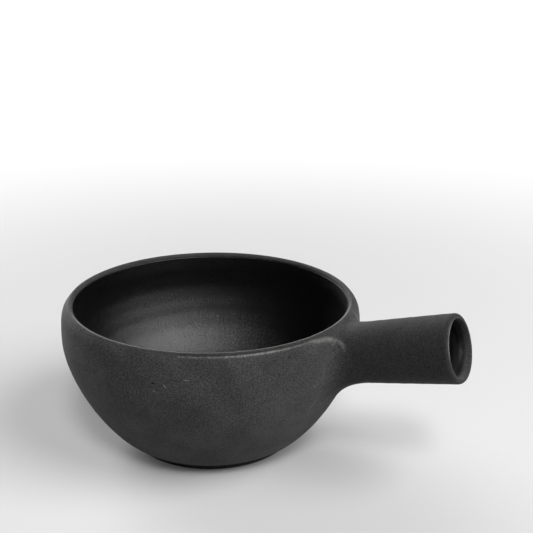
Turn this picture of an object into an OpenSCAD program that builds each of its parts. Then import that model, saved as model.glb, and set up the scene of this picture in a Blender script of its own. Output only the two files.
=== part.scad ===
// Single-handle stoneware pot: an open thrown bowl with one hollow thrown handle luted to its side.
// Millimetres, +Z up. The origin is the centre of the foot, on the surface that the pot stands on.
// The handle leaves the bowl along +X and rises towards its open end.

/* [Bowl] */
// Outside diameter at the widest point
bowl_d = 152.5; // [130:0.5:180]
// Height from the foot to the crest of the lip
bowl_h = 76.4; // [66:0.2:95]
// Height of the crest above the widest point
lip_rise = 16.4; // [12:0.2:22]
// How far the mouth is drawn in from the widest point
lip_in = 6.25; // [4:0.05:12]
// Radius of the lip outside its crest
lip_r = 1.1; // [0.8:0.1:1.6]
// Radius of the lip inside its crest
lip_roll = 1.9; // [1:0.1:2.6]
// Wall at the bend inside, measured level
wall_t = 6; // [4:0.2:8]
// Depth below the lip of the bend inside, where the upright collar ends and the wall leans in
bend_drop = 23.4; // [19:0.2:28]
// Clay under the middle of the floor
floor_t = 8; // [5:0.5:12]
// How far the upright part of the outside wall reaches below the widest point
belly_pull = 21.6; // [15:0.1:35]
// How far the heel runs out level from the foot before it turns up
heel_run = 10.7; // [4:0.1:20]

/* [Foot] */
// Diameter of the turned foot
foot_d = 84; // [60:1:100]
// Height of the foot, up to the crease under the heel
foot_h = 3.2; // [2:0.1:6]
// Bevel round the bottom of the foot
foot_bevel = 0.6; // [0.2:0.1:1.5]

/* [Handle] */
// Length along the axis from the bowl's wall to the open end
handle_len = 56.6; // [35:0.2:110]
// Diameter at the wall
root_d = 28.4; // [20:0.2:34]
// Diameter at the open end
end_d = 32.6; // [22:0.2:44]
// Wall of the tube
tube_t = 2.5; // [1.8:0.1:4]
// Rise of the handle towards its open end, degrees
handle_tilt = 13.4; // [0:0.2:25]
// Depth of the handle's top below the lip, where it meets the wall
handle_drop = 1.9; // [1.5:0.1:12]

/* [Joint] */
// Luting slip between the tube's cut end and the wall
slip_t = 0.6; // [0.3:0.1:1]
// Reach of the worked coil over the bowl, under the handle
coil_low = 10.5; // [5:0.1:13]
// Reach of the worked coil over the bowl, on top of the handle
coil_top = 1.3; // [0.8:0.1:1.6]
// Run of the worked coil along the underside of the handle
coil_run_low = 13.5; // [6:0.5:20]
// Run of the worked coil along the top of the handle
coil_run_top = 6; // [3:0.5:10]
// Clearance between the worked coil and the clay that it lies on
coil_fit = 0.03; // [0.02:0.01:0.1]

/* [Glaze] */
// Thickness of the glaze inside the bowl
glaze_t = 0.4; // [0.2:0.1:0.8]

/* [Hidden] */
$fn = 96;
wall_steps = 20;
shoulder_steps = 10;
lip_steps = 5;
floor_steps = 18;

bowl_r = bowl_d / 2;
foot_r = foot_d / 2;
root_r = root_d / 2;
end_r = end_d / 2;
belly_z = bowl_h - lip_rise;
mouth_r = bowl_r - lip_in;

// The lip is two arcs that meet at its crest, one outside it and one inside
crest_r = mouth_r + lip_roll;
lip_c = [crest_r, bowl_h - lip_r];
roll_c = [crest_r, bowl_h - lip_roll];
// The shoulder joins the outer arc at this lean from level, in degrees
lip_lean = 40;
lip_edge = lip_c + lip_r * [cos(lip_lean), sin(lip_lean)];
lip_dir = [-sin(lip_lean), cos(lip_lean)];

// Lengths of the tangents that shape the shoulder, as shares of the lip's rise
shoulder_full = 0.76;
lip_full = 0.25;
// Lean of the inside from upright, at the bend, in degrees
inside_lean = 14.5;
// Lengths of the tangents that shape the inside, as shares of the collar's height and of the depth and radius
// under it
collar_full = 0.33;
bend_full = 0.37;
inside_full = 0.47;
floor_full = 0.8;

// Point on a cubic curve with four control points
function cubic(p, t) =
    pow(1 - t, 3) * p[0] + 3 * pow(1 - t, 2) * t * p[1] + 3 * (1 - t) * t * t * p[2] + pow(t, 3) * p[3];
// Points along a cubic curve, from step `first` of n
function curve(p, n, first) = [for (i = [first:n]) cubic(p, i / n)];
// Points along an arc, from step `first` of n
function arc(c, r, a0, a1, n, first) =
    [for (i = [first:n]) let (a = a0 + (a1 - a0) * i / n) c + r * [cos(a), sin(a)]];
// An open outline moved sideways by d, to the right of its direction
function beside(p, d) = [
    for (i = [0:len(p) - 1])
        let (run = p[min(i + 1, len(p) - 1)] - p[max(i - 1, 0)], t = run / norm(run))
        p[i] + d * [t[1], -t[0]]
];

// Outside wall from the crease above the foot, over the belly and shoulder, to the crest of the lip
outer_wall = concat(
    curve([[foot_r, foot_h], [foot_r + heel_run, foot_h], [bowl_r, belly_z - belly_pull], [bowl_r, belly_z]],
        wall_steps, 0),
    curve([[bowl_r, belly_z], [bowl_r, belly_z + shoulder_full * lip_rise],
        lip_edge - lip_full * lip_rise * lip_dir, lip_edge], shoulder_steps, 1),
    arc(lip_c, lip_r, lip_lean, 90, lip_steps, 1)
);
// The same as a table of radius by height
wall_by_height = [for (p = outer_wall) [p[1], p[0]]];

// Inside of the clay, from the lip's inner edge down the collar to the bend, and on to the floor's middle
bend_z = bowl_h - bend_drop;
bend = [lookup(bend_z, wall_by_height) - wall_t, bend_z];
bend_dir = [sin(inside_lean), cos(inside_lean)];
collar_h = roll_c[1] - bend_z;
inner_wall = concat(
    curve([[mouth_r, roll_c[1]], [mouth_r, roll_c[1] - collar_full * collar_h],
        bend + bend_full * collar_h * bend_dir, bend], shoulder_steps, 0),
    curve([bend, bend - inside_full * (bend_z - floor_t) * bend_dir, [floor_full * bend[0], floor_t],
        [0, floor_t]], floor_steps, 1)
);

// The handle's axis leaves the outside wall here, and the tube starts inside the bowl's outline
axis_z = bowl_h - handle_drop - root_r / cos(handle_tilt);
axis_x = lookup(axis_z, wall_by_height);
tube_start = -root_r;
rim_s = handle_len - tube_t / 2;
function tube_r(s) = root_r + (end_r - root_r) * s / rim_s;

// Point outside the tube: angle about its axis from +Y over the top, gap from its skin, distance along it
function by_tube(a, gap, s) =
    [axis_x + s * cos(handle_tilt), 0, axis_z + s * sin(handle_tilt)]
    + (tube_r(s) + gap) * [-sin(a) * sin(handle_tilt), cos(a), sin(a) * cos(handle_tilt)];
// Outside wall as height and radius, with the coil's clearance
wall_table = [for (p = outer_wall) [p[1], p[0] + coil_fit]];
function clear_of_wall(p) = norm([p[0], p[1]]) - lookup(p[2], wall_table);
// Distance along the tube at which a line beside it meets the outside wall, by halving
function meet(a, gap, lo, hi, n) =
    let (mid = (lo + hi) / 2)
    n == 0 ? mid
    : clear_of_wall(by_tube(a, gap, mid)) > 0 ? meet(a, gap, lo, mid, n - 1)
    : meet(a, gap, mid, hi, n - 1);
halvings = 24;
function on_wall(a, gap) = by_tube(a, gap, meet(a, gap, -2 * root_r, root_r, halvings));

// Section of the worked coil at an angle about the tube: out along the tube, over the hollow curve
// between tube and wall, and back along the wall to the corner. coil_fill keeps the curve off the corner.
coil_turns = 72;
coil_curve = 7;
coil_back = 3;
coil_fill = 0.15;
function coil_section(a) =
    let (
        low = (1 - sin(a)) / 2,
        reach = coil_top + (coil_low - coil_top) * low,
        run = coil_run_top + (coil_run_low - coil_run_top) * low,
        start = meet(a, coil_fit, -2 * root_r, root_r, halvings),
        corner = by_tube(a, coil_fit, start),
        out = by_tube(a, coil_fit, start + run),
        over = on_wall(a, reach),
        pull = corner + coil_fill * ((out + over) / 2 - corner)
    )
    concat(
        [for (i = [0:coil_curve]) let (u = i / coil_curve)
            pow(1 - u, 2) * out + 2 * u * (1 - u) * pull + u * u * over],
        [for (i = [coil_back - 1:-1:1]) on_wall(a, coil_fit + (reach - coil_fit) * i / coil_back)],
        [corner]
    );

// A closed ring of equal sections, as triangles
module ring_of(sections) {
    n = len(sections);
    m = len(sections[0]);
    points = [for (s = sections) each s];
    faces = [
        for (i = [0:n - 1], j = [0:m - 1])
            let (a = i * m + j, b = i * m + (j + 1) % m, c = (i + 1) % n * m + j,
                d = (i + 1) % n * m + (j + 1) % m)
            each [[a, c, b], [b, c, d]]
    ];
    polyhedron(points, faces);
}

// The bowl's outline filled in and grown outwards, for cutting what is luted to it
module bowl_form(grow) {
    wall = beside(outer_wall, grow);
    rotate_extrude() polygon(concat([[0, foot_h]], wall, [[0, bowl_h + grow]]));
}

// The thrown tube before its end is cut to the bowl, with a round rim at its open end
module tube_blank() {
    rim_c = [end_r - tube_t / 2, rim_s];
    section = concat(
        [[tube_r(tube_start), tube_start]],
        arc(rim_c, tube_t / 2, 0, 180, 2 * lip_steps, 0),
        [[tube_r(tube_start) - tube_t, tube_start]]
    );
    translate([axis_x, 0, axis_z]) rotate([0, 90 - handle_tilt, 0]) rotate_extrude() polygon(section);
}

module bowl() {
    color("#38383a") rotate_extrude() polygon(concat(
        [[0, 0], [foot_r - foot_bevel, 0], [foot_r, foot_bevel]],
        outer_wall,
        arc(roll_c, lip_roll, 90, 180, lip_steps, 1),
        [for (i = [1:len(inner_wall) - 1]) inner_wall[i]]
    ));
}

module handle() {
    color("#323234") difference() {
        tube_blank();
        bowl_form(slip_t);
    }
}

module luting_slip() {
    color("#4a4a4c") difference() {
        intersection() {
            tube_blank();
            bowl_form(slip_t);
        }
        bowl_form(0);
    }
}

module joint_coil() {
    color("#363638") ring_of([for (i = [0:coil_turns - 1]) coil_section(360 * i / coil_turns)]);
}

module liner_glaze() {
    face = beside(inner_wall, glaze_t);
    last = len(face) - 1;
    color("#1e1e20") rotate_extrude() polygon(concat(
        inner_wall,
        [[0, floor_t + glaze_t]],
        [for (i = [last - 1:-1:0]) face[i]]
    ));
}

bowl();
handle();
luting_slip();
joint_coil();
liner_glaze();
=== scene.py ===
"""Looks of the single-handle stoneware pot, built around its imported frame.

Lengths are in millimetres until a surface becomes a mesh. In the fields angles are in degrees, and the
phases of waves are in radians. The bowl's axis is +Z, the foot stands on z = 0, and the handle leaves
the bowl along +X.
"""
import logging
import math
from dataclasses import dataclass, field
from enum import Enum
from typing import Any, ClassVar

import bpy
import numpy as np
from mathutils import Matrix, Vector


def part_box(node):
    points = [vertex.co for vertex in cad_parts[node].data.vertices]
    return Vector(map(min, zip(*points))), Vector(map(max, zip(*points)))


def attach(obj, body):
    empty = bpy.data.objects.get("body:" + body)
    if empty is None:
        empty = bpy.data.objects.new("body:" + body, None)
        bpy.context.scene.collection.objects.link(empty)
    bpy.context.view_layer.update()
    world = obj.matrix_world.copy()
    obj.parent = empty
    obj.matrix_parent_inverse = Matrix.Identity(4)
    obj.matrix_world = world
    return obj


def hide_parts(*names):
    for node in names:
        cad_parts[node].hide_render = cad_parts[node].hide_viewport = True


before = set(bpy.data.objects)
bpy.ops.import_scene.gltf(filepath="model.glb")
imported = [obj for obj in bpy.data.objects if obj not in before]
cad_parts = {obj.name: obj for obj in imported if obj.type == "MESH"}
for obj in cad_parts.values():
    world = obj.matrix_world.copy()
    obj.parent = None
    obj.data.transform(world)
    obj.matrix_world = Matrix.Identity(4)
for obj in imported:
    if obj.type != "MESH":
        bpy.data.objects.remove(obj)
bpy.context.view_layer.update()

LOG = logging.getLogger("pot")

MM = 0.001
IMAGE_PX = 533
FULL_TURN = 2 * math.pi
# The band that holds nearly all of a noise pattern's values
NOISE_LOW = 0.3
NOISE_HIGH = 0.7
# Share of a small mark's reach over which it keeps its full strength
MARK_CORE = 0.35

Array = np.ndarray


class Slot(Enum):
    """The record's material slots."""

    STONEWARE = "stoneware"
    SLIP = "slip"
    GLAZE = "glaze"


class Tone(Enum):
    """What a small mark does to the clay: a pit is dark and sunk, a scuff is pale and flush."""

    PIT = "pit"
    SCUFF = "scuff"


def linear(code: str) -> tuple[float, float, float, float]:
    """Turns an sRGB hex colour into the linear one that shaders take.

    Args:
        code: A colour such as "#3a3a3b".

    Returns:
        Red, green, blue and an alpha of 1.
    """
    coded = np.array([int(code[i:i + 2], 16) for i in (1, 3, 5)]) / 255
    light = np.where(coded <= 0.04045, coded / 12.92, ((coded + 0.055) / 1.055) ** 2.4)
    return (*light.tolist(), 1.0)


def smooth(x: Array) -> Array:
    """Rises from 0 at x = 0 to 1 at x = 1, level at both ends."""
    x = np.clip(x, 0, 1)
    return x * x * (3 - 2 * x)


def bell(x: Array, middle: float, width: float) -> Array:
    """A bell curve of height 1 about its middle."""
    return np.exp(-((x - middle) / width) ** 2)


def cubic(points: list, steps: int) -> Array:
    """Points along a cubic curve: the four control points, blended by the Bernstein weights.

    Args:
        points: Four control points, each a point or an array of points.
        steps: Number of equal steps in the curve's parameter.

    Returns:
        The points, with the steps along the first axis.
    """
    a, b, c, d = (np.asarray(p, float) for p in points)
    t = np.linspace(0, 1, steps + 1).reshape(-1, *[1] * a.ndim)
    return (1 - t) ** 3 * a + 3 * (1 - t) ** 2 * t * b + 3 * (1 - t) * t ** 2 * c + t ** 3 * d


def arc(centre: Array, radius: float, first: float, last: float, steps: int) -> Array:
    """Points along an arc in the plane, from one angle to another in degrees."""
    angle = np.radians(np.linspace(first, last, steps + 1))
    return np.asarray(centre) + radius * np.stack([np.cos(angle), np.sin(angle)], 1)


def spread(outline: Array, density: Array, count: int) -> Array:
    """Draws an outline again with its points where the shape needs them.

    The new points are equally spaced in the running sum of length times density.

    Args:
        outline: Points in the plane, in order.
        density: How closely points are wanted at each of them.
        count: Number of new points.

    Returns:
        The new points, with both ends kept.
    """
    length = np.linalg.norm(np.diff(outline, axis=0), axis=1)
    share = np.concatenate([[0], np.cumsum(length * (density[1:] + density[:-1]) / 2)])
    at = np.linspace(0, share[-1], count)
    return np.stack([np.interp(at, share, outline[:, axis]) for axis in (0, 1)], 1)


def outward(outline: Array) -> Array:
    """Normals of an outline in the plane: its direction at each point, turned to the right.

    Args:
        outline: Points in the plane, in order.

    Returns:
        One unit normal for each point.
    """
    run = np.gradient(outline, axis=0)
    run /= np.linalg.norm(run, axis=1)[:, None]
    return np.stack([run[:, 1], -run[:, 0]], 1)


def ring_faces(rows: int, columns: int, closed: bool) -> Array:
    """Corner numbers of the quads on a grid whose columns run round and meet.

    Args:
        rows: Number of rows of points.
        columns: Number of points in a row.
        closed: True where the last row joins the first as well.

    Returns:
        One line of four corners for each quad.
    """
    i, j = np.meshgrid(np.arange(rows if closed else rows - 1), np.arange(columns), indexing="ij")
    up, on = (i + 1) % rows, (j + 1) % columns
    corners = [i * columns + j, i * columns + on, up * columns + on, up * columns + j]
    return np.stack(corners, -1).reshape(-1, 4)


def pole_faces(row: Array, pole: int) -> Array:
    """Triangles that close a row of points on one point."""
    return np.stack([np.full(row.size, pole), np.roll(row, -1), row], 1)


def volume(points: Array, triangles: Array) -> float:
    """Signed volume inside triangles: the sum of their corners' triple products, over six."""
    a, b, c = (points[triangles[:, k]] for k in range(3))
    return float(np.einsum("ij,ij->", a, np.cross(b, c)) / 6)


def make_piece(name: str, points: Array, quads: Array,
               triangles: Array | None = None) -> bpy.types.Object:
    """Makes a smooth closed mesh at the origin, with its faces turned outwards.

    Args:
        name: Name of the piece.
        points: Corners in millimetres.
        quads: Four corner numbers for each quad.
        triangles: Three corner numbers for each triangle, where there are poles.

    Returns:
        The new object, in metres.
    """
    caps = np.empty((0, 3), int) if triangles is None else triangles
    every = np.concatenate([quads[:, :3], quads[:, [0, 2, 3]], caps])
    step = 1 if volume(points, every) > 0 else -1
    mesh = bpy.data.meshes.new(name)
    mesh.from_pydata(points * MM, [], quads[:, ::step].tolist() + caps[:, ::step].tolist())
    mesh.polygons.foreach_set("use_smooth", np.ones(len(mesh.polygons), bool))
    mesh.update()
    piece = bpy.data.objects.new(name, mesh)
    bpy.context.scene.collection.objects.link(piece)
    return piece


def make_turned(name: str, radius: Array, height: Array, turn: Array,
                ends: tuple[float, float]) -> bpy.types.Object:
    """Makes a closed piece about the bowl's axis: (r cos t, r sin t, z), with both ends on the axis.

    Args:
        name: Name of the piece.
        radius: Distance from the axis on a grid of rows and turns.
        height: Height on the same grid.
        turn: Angle of each column in radians.
        ends: Heights of the points on the axis that close the first row and the last.

    Returns:
        The new object, in metres.
    """
    rows, columns = radius.shape
    grid = np.stack([radius * np.cos(turn), radius * np.sin(turn), height], -1).reshape(-1, 3)
    poles = np.array([(0, 0, end) for end in ends])
    count = rows * columns
    row = np.arange(columns)
    caps = np.concatenate([
        pole_faces(row, count),
        pole_faces(count - columns + row[::-1], count + 1)])
    return make_piece(name, np.concatenate([grid, poles]), ring_faces(rows, columns, False), caps)


def add_values(piece: bpy.types.Object, name: str, values: Array) -> None:
    """Stores one number for each corner of a piece, for its material to read."""
    stored = piece.data.attributes.new(name, "FLOAT", "POINT")
    stored.data.foreach_set("value", np.ascontiguousarray(values, np.float32).ravel())


def node(tree: bpy.types.NodeTree, kind: str, sockets: dict[str | int, Any] | None = None,
         **settings: Any) -> bpy.types.Node:
    """Adds a node with its settings, values and links.

    Args:
        tree: Node tree that takes the node.
        kind: The node's type name.
        sockets: Input sockets by name or number, each with a value or an output to link.
        settings: The node's own properties.

    Returns:
        The new node.
    """
    made = tree.nodes.new(kind)
    for name, value in settings.items():
        setattr(made, name, value)
    for name, value in (sockets or {}).items():
        if isinstance(value, bpy.types.NodeSocket):
            tree.links.new(value, made.inputs[name])
        else:
            made.inputs[name].default_value = value
    return made


def seen(tree: bpy.types.NodeTree) -> bpy.types.NodeSocket:
    """Finds the rays that show a background: the most of what marks camera, glossy and glass rays.

    Args:
        tree: Node tree of the table or the room.

    Returns:
        The socket that is 1 on those rays and 0 on others.
    """
    path = node(tree, "ShaderNodeLightPath")
    shown = path.outputs["Is Camera Ray"]
    for other in ("Is Glossy Ray", "Is Transmission Ray"):
        shown = node(tree, "ShaderNodeMath", {0: shown, 1: path.outputs[other]},
                     operation="MAXIMUM").outputs["Value"]
    return shown


def dots(tree: bpy.types.NodeTree, place: bpy.types.NodeSocket, spacing: float, size: float,
         rarity: float) -> bpy.types.NodeSocket:
    """Scatters round dots, one in each of a few cells of a Voronoi pattern.

    Args:
        tree: Node tree of the clay or the glaze.
        place: Object coordinates.
        spacing: Width of a cell in millimetres.
        size: Radius of a dot as a share of the cell.
        rarity: Share of the cells that stay empty.

    Returns:
        The socket that carries the mask.
    """
    cells = node(tree, "ShaderNodeTexVoronoi", {"Vector": place, "Scale": 1 / (spacing * MM)})
    chosen = node(tree, "ShaderNodeMath", {0: cells.outputs["Color"], 1: rarity},
                  operation="GREATER_THAN")
    disc = node(tree, "ShaderNodeMapRange", {
        "Value": cells.outputs["Distance"], "From Min": size, "From Max": size / 2},
        interpolation_type="SMOOTHSTEP")
    return node(tree, "ShaderNodeMath", {0: chosen.outputs["Value"], 1: disc.outputs["Result"]},
                operation="MULTIPLY").outputs["Value"]


def new_tree(name: str) -> tuple[bpy.types.Material, bpy.types.NodeTree]:
    """Makes an empty node material.

    Args:
        name: Name of the material.

    Returns:
        The material and its tree.
    """
    material = bpy.data.materials.new(name)
    material.use_nodes = True
    material.node_tree.nodes.clear()
    return material, material.node_tree


@dataclass(frozen=True)
class Mark:
    """One small blemish on a round wall: its place, size, lean from level, tone and strength."""

    turn: float
    height: float
    radius: float
    length: float
    width: float
    lean: float = 0.0
    tone: Tone = Tone.PIT
    strength: float = 1.0

    def mask(self, tree: bpy.types.NodeTree, place: bpy.types.NodeSocket) -> bpy.types.NodeSocket:
        """Draws the mark: full at its middle, falling to 0 at the rim of a flat ellipsoid.

        Args:
            tree: Node tree of the clay or the glaze.
            place: Object coordinates.

        Returns:
            The socket that carries the mask.
        """
        turn = math.radians(self.turn)
        facing = Matrix.Rotation(turn, 3, "Z") @ Matrix.Rotation(math.radians(self.lean), 3, "X")
        middle = Vector((self.radius * math.cos(turn), self.radius * math.sin(turn), self.height))
        reach = Vector((self.length, self.length / 2, self.width / 2))
        local = node(tree, "ShaderNodeMapping", {
            "Vector": place, "Location": middle * MM, "Rotation": facing.to_euler(),
            "Scale": reach * MM}, vector_type="TEXTURE")
        away = node(tree, "ShaderNodeVectorMath", {0: local.outputs["Vector"]}, operation="LENGTH")
        return node(tree, "ShaderNodeMapRange", {
            "Value": away.outputs["Value"], "From Min": 1.0, "From Max": MARK_CORE,
            "To Max": self.strength}, interpolation_type="SMOOTHSTEP").outputs["Result"]


@dataclass(frozen=True)
class BlackStoneware:
    """Black stoneware, thrown, turned and fired bare.

    Dry and matte, with no gloss at any angle: a charcoal body with a fine sandy tooth, soft cloudy
    patches from the kiln, sparse pale grog, pin holes, and a paler line on edges and ridges that is
    partly abrasion and partly a painted highlight. A smoky tone darkens the handle and is painted shade
    in the lip's groove, and a near-black is painted shade.
    """

    body: str = "#3c3c3c"
    cloud: str = "#343434"
    # Smoky tone of the handle and coil, also painted shade in the lip's groove
    smoke_and_shade: str = "#262626"
    # Near-black painted shade: inside the lip, deep in the bore and on part of the handle's rim
    painted_shade: str = "#080808"
    grog: str = "#646463"
    pore: str = "#141414"
    # Pale edges and scuffs, the edges partly abrasion and partly painted highlight
    rubbed_and_highlight: str = "#757573"
    roughness: float = 0.78
    ior: float = 1.5
    gloss: float = 0.12
    dust: float = 0.04
    # How far the smoky tone and the groove's painted shade darken the clay
    smoke_and_shade_most: float = 0.7
    # The sand in the clay is 0.3 mm. It is drawn coarser to show in the render.
    tooth_mm: float = 0.55
    tooth_depth_mm: float = 0.1
    sandiness: float = 0.78
    # The kiln's clouds, and the noise values between which they go from dark to pale
    cloud_mm: float = 16.0
    cloud_from: float = 0.36
    cloud_to: float = 0.64
    # Spacing of grog and pin holes, their radius as a share of it, and the share of places left empty
    grog_mm: float = 3.4
    grog_size: float = 0.16
    grog_rarity: float = 0.94
    pore_mm: float = 5.2
    pore_size: float = 0.12
    pore_rarity: float = 0.8
    marks: tuple[Mark, ...] = ()

    def material(self) -> bpy.types.Material:
        """Builds the node material.

        The colour goes between cloud and body by a noise, and by the stored values towards the smoky tone,
        which is painted shade in the lip's groove, and towards the near-black painted shade. It is
        multiplied by the sand, and then takes grog, the pale edges with their painted highlight, scuffs and
        holes in turn. The bump is the sand less the holes.

        Returns:
            The material.
        """
        material, tree = new_tree("black_stoneware_bare")
        place = node(tree, "ShaderNodeTexCoord").outputs["Object"]
        cloud = node(tree, "ShaderNodeTexNoise", {
            "Vector": place, "Scale": 1 / (self.cloud_mm * MM), "Detail": 3.0, "Roughness": 0.55})
        tooth = node(tree, "ShaderNodeTexNoise", {
            "Vector": place, "Scale": 1 / (self.tooth_mm * MM), "Detail": 4.0, "Roughness": 0.62})
        patches = node(tree, "ShaderNodeMapRange", {
            "Value": cloud.outputs["Fac"], "From Min": self.cloud_from, "From Max": self.cloud_to},
            interpolation_type="SMOOTHSTEP").outputs["Result"]
        colour = node(tree, "ShaderNodeMix", {
            0: patches, 6: linear(self.cloud), 7: linear(self.body)}, data_type="RGBA").outputs[2]
        sand = node(tree, "ShaderNodeMapRange", {
            "Value": tooth.outputs["Fac"], "From Min": NOISE_LOW, "From Max": NOISE_HIGH,
            "To Min": 1 - self.sandiness, "To Max": 1 + self.sandiness}).outputs["Result"]
        # Smoky tone with the groove's painted shade, then the near-black painted shade
        for name, most, tone in (("smoke_and_shade", self.smoke_and_shade_most, self.smoke_and_shade), ("shaded", 1.0, self.painted_shade)):
            share = node(tree, "ShaderNodeAttribute", attribute_name=name).outputs["Fac"]
            share = node(tree, "ShaderNodeMath", {0: share, 1: most},
                         operation="MULTIPLY").outputs["Value"]
            colour = node(tree, "ShaderNodeMix", {0: share, 6: colour, 7: linear(tone)},
                          data_type="RGBA").outputs[2]
        colour = node(tree, "ShaderNodeMix", {0: 1.0, 6: colour, 7: sand},
                      data_type="RGBA", blend_type="MULTIPLY").outputs[2]
        grog = dots(tree, place, self.grog_mm, self.grog_size, self.grog_rarity)
        # Pale edges, partly painted highlight
        lit_wear = node(tree, "ShaderNodeAttribute", attribute_name="rubbed_and_highlight").outputs["Fac"]
        worn_and_lit = node(tree, "ShaderNodeMath", {0: lit_wear, 1: sand}, operation="MULTIPLY", use_clamp=True)
        layers = [(grog, self.grog), (worn_and_lit.outputs["Value"], self.rubbed_and_highlight)]
        holes = dots(tree, place, self.pore_mm, self.pore_size, self.pore_rarity)
        for mark in self.marks:
            mask = mark.mask(tree, place)
            if mark.tone is Tone.PIT:
                holes = node(tree, "ShaderNodeMath", {0: holes, 1: mask},
                             operation="MAXIMUM").outputs["Value"]
            else:
                layers.append((mask, self.rubbed_and_highlight))
        for mask, tone in (*layers, (holes, self.pore)):
            colour = node(tree, "ShaderNodeMix", {0: mask, 6: colour, 7: linear(tone)},
                          data_type="RGBA").outputs[2]
        relief = node(tree, "ShaderNodeMath", {0: tooth.outputs["Fac"], 1: holes}, operation="SUBTRACT")
        bump = node(tree, "ShaderNodeBump", {
            "Height": relief.outputs["Value"], "Strength": 1.0, "Distance": self.tooth_depth_mm * MM})
        shader = node(tree, "ShaderNodeBsdfPrincipled", {
            "Base Color": colour, "Roughness": self.roughness, "IOR": self.ior,
            "Diffuse Roughness": 0.6, "Specular IOR Level": self.gloss, "Sheen Weight": self.dust,
            "Sheen Roughness": 0.5, "Normal": bump.outputs["Normal"]})
        node(tree, "ShaderNodeOutputMaterial", {"Surface": shader.outputs["BSDF"]})
        return material


@dataclass(frozen=True)
class SatinGlaze:
    """Black liner glaze, poured in and fired to a satin coat.

    Nearly black, with a wide soft sheen instead of a mirror: the coat is thin, so the sand under it
    shows as an orange peel and as tiny bright points, and pin holes show as dark dots.
    """

    coat: str = "#010101"
    thin: str = "#040404"
    pore: str = "#010101"
    # The peel makes some places glossier and some duller, by this much
    roughness: float = 0.33
    roughness_swing: float = 0.12
    ior: float = 1.55
    # The peel is as fine as the sand, 0.3 mm. It is drawn coarser to show in the render.
    peel_mm: float = 0.5
    peel_depth_mm: float = 0.26
    cloud_mm: float = 11.0
    pore_mm: float = 6.5
    pore_size: float = 0.1
    pore_rarity: float = 0.75
    marks: tuple[Mark, ...] = ()

    def material(self) -> bpy.types.Material:
        """Builds the node material.

        The colour goes between thick and thin coat by a noise, and is darker in the holes. The peel moves
        the roughness about its middle, and the bump is the peel less the holes.

        Returns:
            The material.
        """
        material, tree = new_tree("black_satin_liner_glaze")
        place = node(tree, "ShaderNodeTexCoord").outputs["Object"]
        cloud = node(tree, "ShaderNodeTexNoise", {
            "Vector": place, "Scale": 1 / (self.cloud_mm * MM), "Detail": 3.0})
        peel = node(tree, "ShaderNodeTexNoise", {
            "Vector": place, "Scale": 1 / (self.peel_mm * MM), "Detail": 4.0, "Roughness": 0.65})
        colour = node(tree, "ShaderNodeMix", {
            0: cloud.outputs["Fac"], 6: linear(self.coat), 7: linear(self.thin)},
            data_type="RGBA").outputs[2]
        holes = dots(tree, place, self.pore_mm, self.pore_size, self.pore_rarity)
        for mark in self.marks:
            holes = node(tree, "ShaderNodeMath", {0: holes, 1: mark.mask(tree, place)},
                         operation="MAXIMUM").outputs["Value"]
        colour = node(tree, "ShaderNodeMix", {0: holes, 6: colour, 7: linear(self.pore)},
                      data_type="RGBA").outputs[2]
        gloss = node(tree, "ShaderNodeMapRange", {
            "Value": peel.outputs["Fac"], "From Min": NOISE_LOW, "From Max": NOISE_HIGH,
            "To Min": self.roughness - self.roughness_swing,
            "To Max": self.roughness + self.roughness_swing})
        relief = node(tree, "ShaderNodeMath", {0: peel.outputs["Fac"], 1: holes}, operation="SUBTRACT")
        bump = node(tree, "ShaderNodeBump", {
            "Height": relief.outputs["Value"], "Strength": 1.0, "Distance": self.peel_depth_mm * MM})
        shader = node(tree, "ShaderNodeBsdfPrincipled", {
            "Base Color": colour, "Roughness": gloss.outputs["Result"], "IOR": self.ior,
            "Normal": bump.outputs["Normal"]})
        node(tree, "ShaderNodeOutputMaterial", {"Surface": shader.outputs["BSDF"]})
        return material


@dataclass(frozen=True)
class FiredSlip:
    """Luting slip: the same clay as a cream, brushed on and fired, a little paler and rougher."""

    body: str = "#48484a"
    dark: str = "#333335"
    roughness: float = 0.86
    curd_mm: float = 1.1
    curd_depth_mm: float = 0.15

    def material(self) -> bpy.types.Material:
        """Builds the node material: one noise goes between its two colours and is the bump.

        Returns:
            The material.
        """
        material, tree = new_tree("fired_clay_slip")
        place = node(tree, "ShaderNodeTexCoord").outputs["Object"]
        curd = node(tree, "ShaderNodeTexNoise", {
            "Vector": place, "Scale": 1 / (self.curd_mm * MM), "Detail": 3.0})
        colour = node(tree, "ShaderNodeMix", {
            0: curd.outputs["Fac"], 6: linear(self.dark), 7: linear(self.body)}, data_type="RGBA")
        bump = node(tree, "ShaderNodeBump", {
            "Height": curd.outputs["Fac"], "Strength": 1.0, "Distance": self.curd_depth_mm * MM})
        shader = node(tree, "ShaderNodeBsdfPrincipled", {
            "Base Color": colour.outputs[2], "Roughness": self.roughness, "Diffuse Roughness": 0.6,
            "Normal": bump.outputs["Normal"]})
        node(tree, "ShaderNodeOutputMaterial", {"Surface": shader.outputs["BSDF"]})
        return material


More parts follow.
